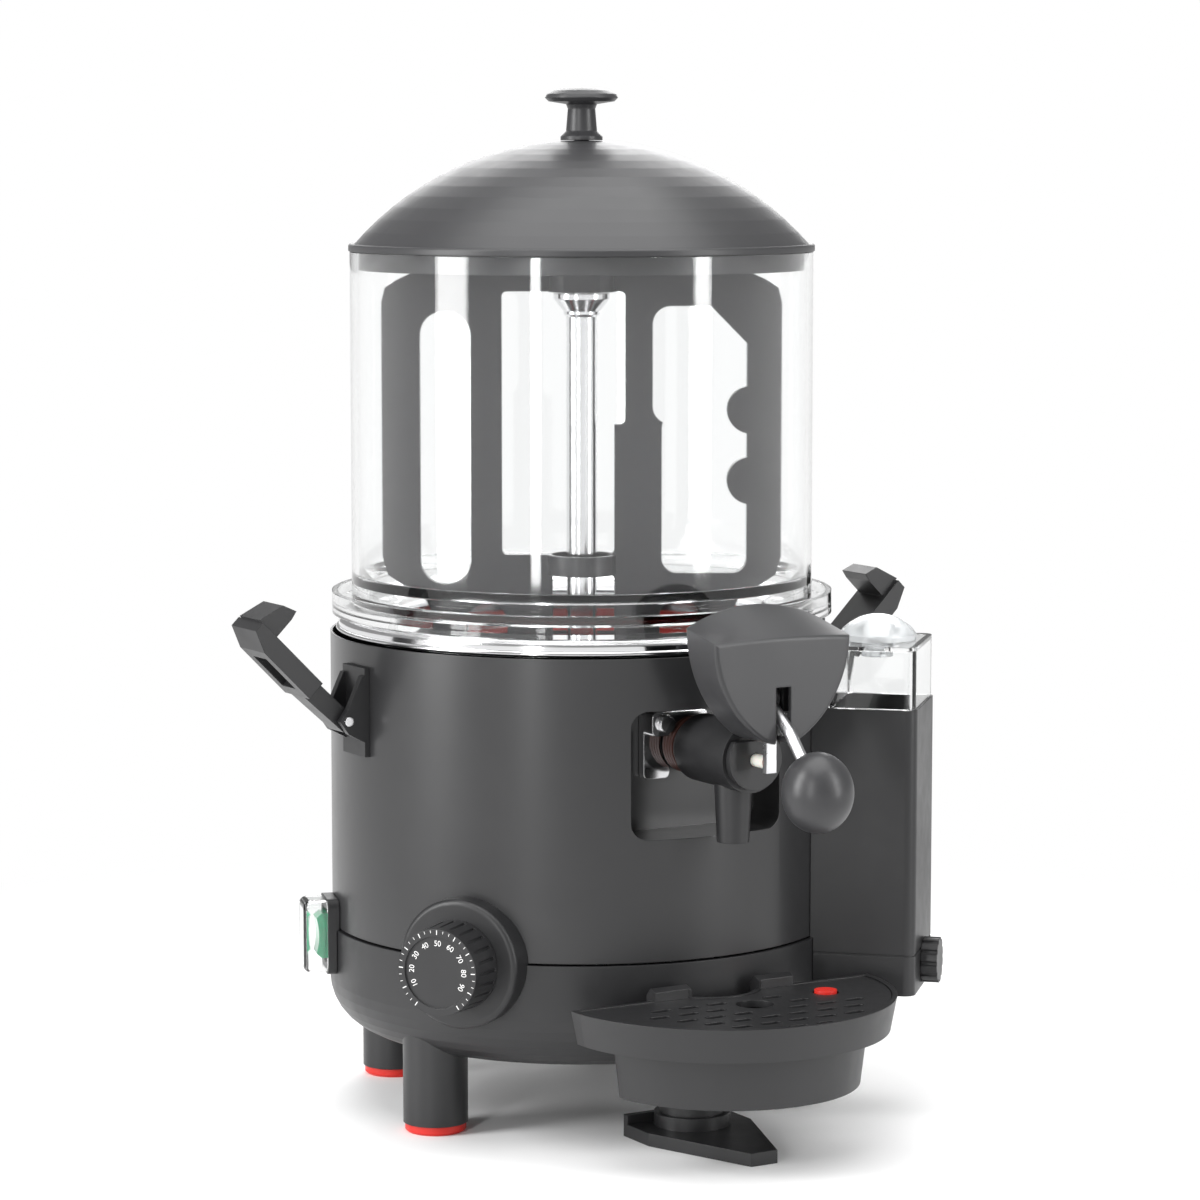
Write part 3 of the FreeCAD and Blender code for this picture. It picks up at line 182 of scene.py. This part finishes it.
# %% Turned steel: hair-fine lines that run round the upright axis
LINE_DEPTH = 0.00004
METAL_EDGE = 0.0008


def make_brushing():
    tree, given, out = new_group(
        "turned_lines", [("Strength", 0.15), ("Upright", 1600.0), ("Across", 6.0)],
        [("Normal", "NodeSocketVector")])
    coords = tree.nodes.new("ShaderNodeTexCoord").outputs["Object"]
    split = tree.nodes.new("ShaderNodeSeparateXYZ")
    link(tree, coords, split.inputs[0])
    angle = math_node(tree, "ARCTAN2", split.outputs["Y"], split.outputs["X"])
    reach = tree.nodes.new("ShaderNodeVectorMath")
    reach.operation = "LENGTH"
    flat = tree.nodes.new("ShaderNodeCombineXYZ")
    link(tree, split.outputs["X"], flat.inputs["X"])
    link(tree, split.outputs["Y"], flat.inputs["Y"])
    link(tree, flat.outputs[0], reach.inputs[0])
    joined = tree.nodes.new("ShaderNodeCombineXYZ")
    link(tree, math_node(tree, "MULTIPLY", angle, given.outputs["Across"]), joined.inputs["X"])
    link(tree, math_node(tree, "MULTIPLY", reach.outputs["Value"], given.outputs["Upright"]),
         joined.inputs["Y"])
    link(tree, math_node(tree, "MULTIPLY", split.outputs["Z"], given.outputs["Upright"]),
         joined.inputs["Z"])
    lines = noise(tree, joined.outputs[0], 1.0, 2.0)
    edge = soft_edge(tree)
    edge.inputs["Radius"].default_value = METAL_EDGE
    bump = tree.nodes.new("ShaderNodeBump")
    bump.inputs["Distance"].default_value = LINE_DEPTH
    link(tree, given.outputs["Strength"], bump.inputs["Strength"])
    link(tree, lines.outputs["Fac"], bump.inputs["Height"])
    link(tree, edge.outputs["Normal"], bump.inputs["Normal"])
    link(tree, bump.outputs["Normal"], out.inputs["Normal"])
    return tree


GRAIN = make_grain()
SMUDGE = make_smudge()
BRUSHING = make_brushing()
print("effects:", GRAIN.name, SMUDGE.name, BRUSHING.name)


# %% [markdown]
# ## Materials
# One function builds the plastics and rubbers, one the metals and one the clear plastics.

# %% A material with its Principled shader
def new_material(name):
    material = bpy.data.materials.new(name)
    material.use_nodes = True
    tree = material.node_tree
    shader = next(n for n in tree.nodes if n.type == "BSDF_PRINCIPLED")
    return material, tree, shader


def use_group(tree, group, **values):
    node = tree.nodes.new("ShaderNodeGroup")
    node.node_tree = group
    for label, value in values.items():
        node.inputs[label].default_value = value
    return node


def tinted(tree, shader, mask, dark, light):
    """The base colour runs between two close tones by a mask."""
    ramp = tree.nodes.new("ShaderNodeMix")
    ramp.data_type = "RGBA"
    ramp.inputs[6].default_value = (*dark, 1.0)
    ramp.inputs[7].default_value = (*light, 1.0)
    link(tree, mask, ramp.inputs[0])
    link(tree, ramp.outputs[2], shader.inputs["Base Color"])


DARKER = 0.88
LIGHTER = 1.14
METAL_DARKER = 0.94
COAT_ROUGHNESS = 0.18
SOFT_DEPTH = 0.004
WAVES = {"Scale": 26.0, "Strength": 0.03, "Edge": 0.0008}
CLEAR_ROUGH_SPREAD = 0.03


def moulded(name, tone, rough=(0.34, 0.46), grain=(900.0, 0.12), edge=0.0006, coat=0.0,
            specular=0.5, soft=0.0):
    """Moulded plastic, rubber or powder coat: tone, roughness patches, grain and soft edges."""
    material, tree, shader = new_material(name)
    marks = use_group(tree, SMUDGE, Low=rough[0], High=rough[1])
    bumps = use_group(tree, GRAIN, Scale=grain[0], Strength=grain[1], Edge=edge)
    dark = [c * DARKER for c in tone]
    light = [min(1.0, c * LIGHTER) for c in tone]
    tinted(tree, shader, marks.outputs["Mask"], dark, light)
    link(tree, marks.outputs["Roughness"], shader.inputs["Roughness"])
    link(tree, bumps.outputs["Normal"], shader.inputs["Normal"])
    shader.inputs["Specular IOR Level"].default_value = specular
    shader.inputs["Coat Weight"].default_value = coat
    shader.inputs["Coat Roughness"].default_value = COAT_ROUGHNESS
    shader.inputs["Subsurface Weight"].default_value = soft
    shader.inputs["Subsurface Scale"].default_value = SOFT_DEPTH
    return material


def metal(name, tone, rough=(0.10, 0.2), lines=0.12, upright=1600.0):
    """Steel or zinc with turned or drawn lines."""
    material, tree, shader = new_material(name)
    marks = use_group(tree, SMUDGE, Low=rough[0], High=rough[1])
    turned = use_group(tree, BRUSHING, Strength=lines, Upright=upright)
    tinted(tree, shader, marks.outputs["Mask"], [c * METAL_DARKER for c in tone], tone)
    link(tree, marks.outputs["Roughness"], shader.inputs["Roughness"])
    link(tree, turned.outputs["Normal"], shader.inputs["Normal"])
    shader.inputs["Metallic"].default_value = 1.0
    return material


def clear(name, tone, rough=0.02, ior=1.49, milk=0.0):
    """Clear moulded plastic with a trace of waviness in its surface."""
    material, tree, shader = new_material(name)
    bumps = use_group(tree, GRAIN, **WAVES)
    link(tree, bumps.outputs["Normal"], shader.inputs["Normal"])
    marks = use_group(tree, SMUDGE, Low=rough, High=rough + CLEAR_ROUGH_SPREAD)
    link(tree, marks.outputs["Roughness"], shader.inputs["Roughness"])
    shader.inputs["Base Color"].default_value = (*tone, 1.0)
    shader.inputs["Transmission Weight"].default_value = 1.0 - milk
    shader.inputs["IOR"].default_value = ior
    return material


# %% The materials of this machine, one for each slot
MATERIALS = {
    "black_plastic": moulded("satin_black_plastic", (0.016, 0.016, 0.017), (0.34, 0.46)),
    "black_metal": moulded("satin_black_casing", (0.024, 0.024, 0.025), (0.28, 0.34),
                           (1500.0, 0.05), coat=0.15),
    "grey_plastic": moulded("dark_grey_plastic", (0.034, 0.034, 0.036), (0.32, 0.42),
                            (1100.0, 0.08), 0.0012),
    "stainless": metal("polished_steel", (0.80, 0.80, 0.81), (0.08, 0.16), 0.10),
    "brushed": metal("brushed_steel", (0.62, 0.62, 0.63), (0.24, 0.36), 0.3),
    "zinc": metal("zinc_plate", (0.56, 0.57, 0.59), (0.26, 0.42), 0.2, 400.0),
    "clear": clear("clear_polycarbonate", (0.985, 0.99, 0.99)),
    "red_silicone": moulded("red_silicone", (0.62, 0.018, 0.010), (0.38, 0.5), (700.0, 0.06), 0.001,
                            soft=0.25),
    "brown_seal": moulded("brown_ribbed_rubber", (0.075, 0.024, 0.016), (0.4, 0.55), (800.0, 0.15)),
    "black_rubber": moulded("black_rubber", (0.02, 0.02, 0.02), (0.55, 0.7)),
    "green_lens": moulded("green_lens", (0.0, 0.30, 0.13), (0.12, 0.2), (200.0, 0.02), coat=0.6),
    "white_plastic": clear("milky_plastic", (0.93, 0.95, 0.96), 0.12, 1.46, 0.35),
    "nylon": moulded("natural_nylon", (0.66, 0.64, 0.58), (0.4, 0.5), soft=0.2),
}
INK = moulded("dial_white_ink", (0.78, 0.78, 0.77), (0.45, 0.5), (500.0, 0.02), 0.0)
print(len(MATERIALS), "slot materials")

# %% [markdown]
# ## Dressing the CAD nodes
# Each node keeps its shape and takes the material of its slot from the record.

# %% Give each node its material
SLOT_OF = {piece["node"]: piece["material_slot"] for piece in frame["record"]["subparts"]}
for node_name, node in frame["nodes"].items():
    node.data.materials.clear()
    node.data.materials.append(MATERIALS[SLOT_OF[node_name]])
print("dressed", len(frame["nodes"]), "nodes")


# %% [markdown]
# ## Fine pieces
# Two things are made here: the dial's scale, with its ticks and numbers, and the rolled
# bead round the rim of the basin. Each rides on the body that carries it.

# %% Mesh helpers
def mesh_object(name, verts, faces, material, smooth=True):
    mesh = bpy.data.meshes.new(name)
    mesh.from_pydata([tuple(v) for v in verts], [], faces)
    mesh.validate()
    mesh.update()
    for polygon in mesh.polygons:
        polygon.use_smooth = smooth
    obj = bpy.data.objects.new(name, mesh)
    bpy.context.scene.collection.objects.link(obj)
    obj.data.materials.append(material)
    return obj


def tube_ring(name, radius, tube, centre, material, sides=128, rings=16):
    """A round bead: a ring of the given tube radius about an upright axis."""
    verts = []
    faces = []
    for i in range(sides):
        a = 2 * math.pi * i / sides
        for j in range(rings):
            b = 2 * math.pi * j / rings
            r = radius + tube * math.cos(b)
            verts.append((centre.x + r * math.cos(a), centre.y + r * math.sin(a),
                          centre.z + tube * math.sin(b)))
            i2 = (i + 1) % sides
            j2 = (j + 1) % rings
            faces.append((i * rings + j, i2 * rings + j, i2 * rings + j2, i * rings + j2))
    return mesh_object(name, verts, faces, material)


def facing(obj, place, outward):
    """Turns a flat piece drawn in XY so that its face looks outward, with its top up."""
    z = Vector(outward).normalized()
    x = Vector((0, 0, 1)).cross(z).normalized()
    y = z.cross(x)
    turn = Matrix((x, y, z)).transposed().to_4x4()
    obj.matrix_world = Matrix.Translation(place) @ turn


# %% [markdown]
# The dial's scale turns with the dial, so it rides on that body.

# %% The dial's scale: ticks round the edge and plain numbers
DIAL = next(j for j in frame["record"]["behaviour"]["joints"] if j["name"] == "dial_turn")
DIAL_OUT = Vector(DIAL["axis"])
DIAL_FACE_R = 23.0 * MM
DIAL_REACH = max((v.co.dot(DIAL_OUT) for v in frame["nodes"]["dial_knob"].data.vertices))
DIAL_CENTRE = Vector((0, 0, DIAL["pos_m"][2])) + DIAL_OUT * DIAL_REACH
TICKS = 30
LONG_EVERY = 3
LONG_TICK = (0.87, 0.5 * MM)
SHORT_TICK = (0.91, 0.3 * MM)
TICK_END = 0.975
TICK_LIFT = 0.05 * MM
SCALE_SWEEP = 290.0
NUMBERS = 9
NUMBER_SIZE = 4.2 * MM
NUMBER_DEPTH = 0.02 * MM
NUMBER_REACH = 0.66
NUMBER_SINK = 0.93 * MM


def flat_bar(r0, r1, width, degrees):
    """Four corners of a bar that points out from the centre."""
    a = math.radians(degrees)
    along = Vector((math.sin(a), math.cos(a), 0))
    side = Vector((along.y, -along.x, 0)) * (width / 2)
    return [along * r0 - side, along * r0 + side, along * r1 + side, along * r1 - side]


def dial_ticks():
    verts = []
    faces = []
    for i in range(TICKS + 1):
        start, width = LONG_TICK if i % LONG_EVERY == 0 else SHORT_TICK
        corners = flat_bar(DIAL_FACE_R * start, DIAL_FACE_R * TICK_END, width,
                           i * SCALE_SWEEP / TICKS - SCALE_SWEEP / 2)
        faces.append(tuple(range(len(verts), len(verts) + 4)))
        verts += corners
    ticks = mesh_object("dial_ticks", verts, faces, INK, smooth=False)
    facing(ticks, DIAL_CENTRE + DIAL_OUT * TICK_LIFT, DIAL_OUT)
    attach(ticks, "dial")


def dial_number(text, degrees):
    curve = bpy.data.curves.new("dial_number_" + text, "FONT")
    curve.body = text
    curve.size = NUMBER_SIZE
    curve.align_x = "CENTER"
    curve.align_y = "CENTER"
    curve.extrude = NUMBER_DEPTH
    curve.materials.append(INK)
    obj = bpy.data.objects.new("dial_number_" + text, curve)
    bpy.context.scene.collection.objects.link(obj)
    a = math.radians(degrees)
    facing(obj, DIAL_CENTRE, DIAL_OUT)
    spot = Vector((math.sin(a), math.cos(a), 0)) * DIAL_FACE_R * NUMBER_REACH
    obj.matrix_world = obj.matrix_world @ Matrix.Translation(spot) @ Matrix.Rotation(-a, 4, "Z")
    obj.matrix_world = Matrix.Translation(DIAL_OUT * -NUMBER_SINK) @ obj.matrix_world
    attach(obj, "dial")


dial_ticks()
for step in range(1, NUMBERS + 1):
    dial_number(str(step * 10), step * SCALE_SWEEP / (NUMBERS + 1) - SCALE_SWEEP / 2)
print("dial face at", [round(v, 4) for v in DIAL_CENTRE])

# %% [markdown]
# The steel rim is rolled over, which leaves a bead just below its top.

# %% The rolled bead round the rim
BEAD_TUBE_R = 1.6 * MM
BEAD_INSET = 0.2 * MM
BEAD_DROP = 8.0 * MM
RIM_HIGH = Vector(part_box("heating_basin")[1])
RIM_R = RIM_HIGH.x
bead = tube_ring("rim_bead", RIM_R - BEAD_INSET, BEAD_TUBE_R,
                 Vector((0, 0, RIM_HIGH.z - BEAD_DROP)), MATERIALS["stainless"])
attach(bead, "base")
print("rim radius", round(RIM_R, 4))

# %% [markdown]
# ## Studio
# A pale floor runs out to white. A large soft light stands on the left, two narrow ones in
# front and on the right give the upright highlights, and wide ones light the top and back.

# %% Floor and world
FLOOR_HALF = 14.0
FLOOR_TONE = 0.95
WHITE_FROM = 0.25
WHITE_TO = 0.75


def pale_floor():
    side = FLOOR_HALF
    verts = [(-side, -side, 0), (side, -side, 0), (side, side, 0), (-side, side, 0)]
    floor = mesh_object("floor", verts, [(0, 1, 2, 3)], bpy.data.materials.new("floor"), False)
    material = floor.data.materials[0]
    material.use_nodes = True
    tree = material.node_tree
    shader = next(n for n in tree.nodes if n.type == "BSDF_PRINCIPLED")
    out = next(n for n in tree.nodes if n.type == "OUTPUT_MATERIAL")
    shader.inputs["Base Color"].default_value = (FLOOR_TONE, FLOOR_TONE, FLOOR_TONE, 1)
    shader.inputs["Roughness"].default_value = 0.6
    shader.inputs["Specular IOR Level"].default_value = 0.1
    reach = tree.nodes.new("ShaderNodeVectorMath")
    reach.operation = "LENGTH"
    link(tree, tree.nodes.new("ShaderNodeTexCoord").outputs["Object"], reach.inputs[0])
    fade = tree.nodes.new("ShaderNodeMapRange")
    fade.interpolation_type = "SMOOTHSTEP"
    fade.inputs["From Min"].default_value = WHITE_FROM
    fade.inputs["From Max"].default_value = WHITE_TO
    link(tree, reach.outputs["Value"], fade.inputs["Value"])
    white = tree.nodes.new("ShaderNodeEmission")
    white.inputs["Color"].default_value = (1, 1, 1, 1)
    mix = tree.nodes.new("ShaderNodeMixShader")
    link(tree, fade.outputs["Result"], mix.inputs[0])
    link(tree, shader.outputs[0], mix.inputs[1])
    link(tree, white.outputs[0], mix.inputs[2])
    link(tree, mix.outputs[0], out.inputs["Surface"])


def pale_world(seen=1.0, lit=0.34):
    world = bpy.data.worlds.new("studio")
    world.use_nodes = True
    tree = world.node_tree
    out = next(n for n in tree.nodes if n.type == "OUTPUT_WORLD")
    shown = tree.nodes.new("ShaderNodeBackground")
    shown.inputs["Color"].default_value = (seen, seen, seen, 1)
    lamp = tree.nodes.new("ShaderNodeBackground")
    lamp.inputs["Color"].default_value = (1, 1, 1, 1)
    lamp.inputs["Strength"].default_value = lit
    path = tree.nodes.new("ShaderNodeLightPath")
    through = math_node(tree, "MAXIMUM", path.outputs["Is Camera Ray"],
                        path.outputs["Is Transmission Ray"])
    mix = tree.nodes.new("ShaderNodeMixShader")
    link(tree, through, mix.inputs[0])
    link(tree, lamp.outputs[0], mix.inputs[1])
    link(tree, shown.outputs[0], mix.inputs[2])
    link(tree, mix.outputs[0], out.inputs["Surface"])
    bpy.context.scene.world = world


pale_floor()
pale_world()


# %% [markdown]
# The camera looks down a little from the left, as the photograph's did.

# %% Lights and camera
FRAME_WIDTH = 0.66
SENSOR_WIDTH = 36.0


def area_light(name, place, target, size, power):
    light = bpy.data.lights.new(name, "AREA")
    light.shape = "RECTANGLE"
    light.size = size[0]
    light.size_y = size[1]
    light.energy = power
    obj = bpy.data.objects.new(name, light)
    obj.location = place
    obj.rotation_euler = (Vector(target) - Vector(place)).to_track_quat("-Z", "Y").to_euler()
    bpy.context.scene.collection.objects.link(obj)
    return obj


def around(degrees, distance, height):
    """A place at an azimuth measured as the camera's is."""
    a = math.radians(degrees)
    return Vector((math.sin(a) * distance, -math.cos(a) * distance, height))


CENTRE = Vector((0.0, -0.02, (LOW.z + HIGH.z) / 2))
area_light("key_left", around(-95, 1.6, 0.9), CENTRE, (0.55, 1.7), 30)
area_light("strip_front", around(-52, 2.6, 0.9), CENTRE, (0.22, 1.9), 20)
area_light("strip_right", around(30, 1.8, 0.9), CENTRE, (0.3, 1.7), 20)
area_light("overhead", Vector((0.0, -0.2, 2.2)), CENTRE, (2.2, 2.2), 44)
area_light("back_edge", around(150, 1.8, 1.2), CENTRE, (1.2, 1.2), 16)

camera_data = bpy.data.cameras.new("camera")
camera = bpy.data.objects.new("camera", camera_data)
bpy.context.scene.collection.objects.link(camera)
camera.location = around(CAMERA_AZIMUTH, CAMERA_DISTANCE, CAMERA_HEIGHT)
camera.rotation_euler = (CENTRE - camera.location).to_track_quat("-Z", "Y").to_euler()
camera_data.sensor_width = SENSOR_WIDTH
camera_data.lens = camera_data.sensor_width * (CAMERA_DISTANCE / FRAME_WIDTH)
bpy.context.scene.camera = camera
bpy.context.scene.view_settings.view_transform = "Standard"
print("camera at", [round(v, 3) for v in camera.location], "lens", round(camera_data.lens, 1))
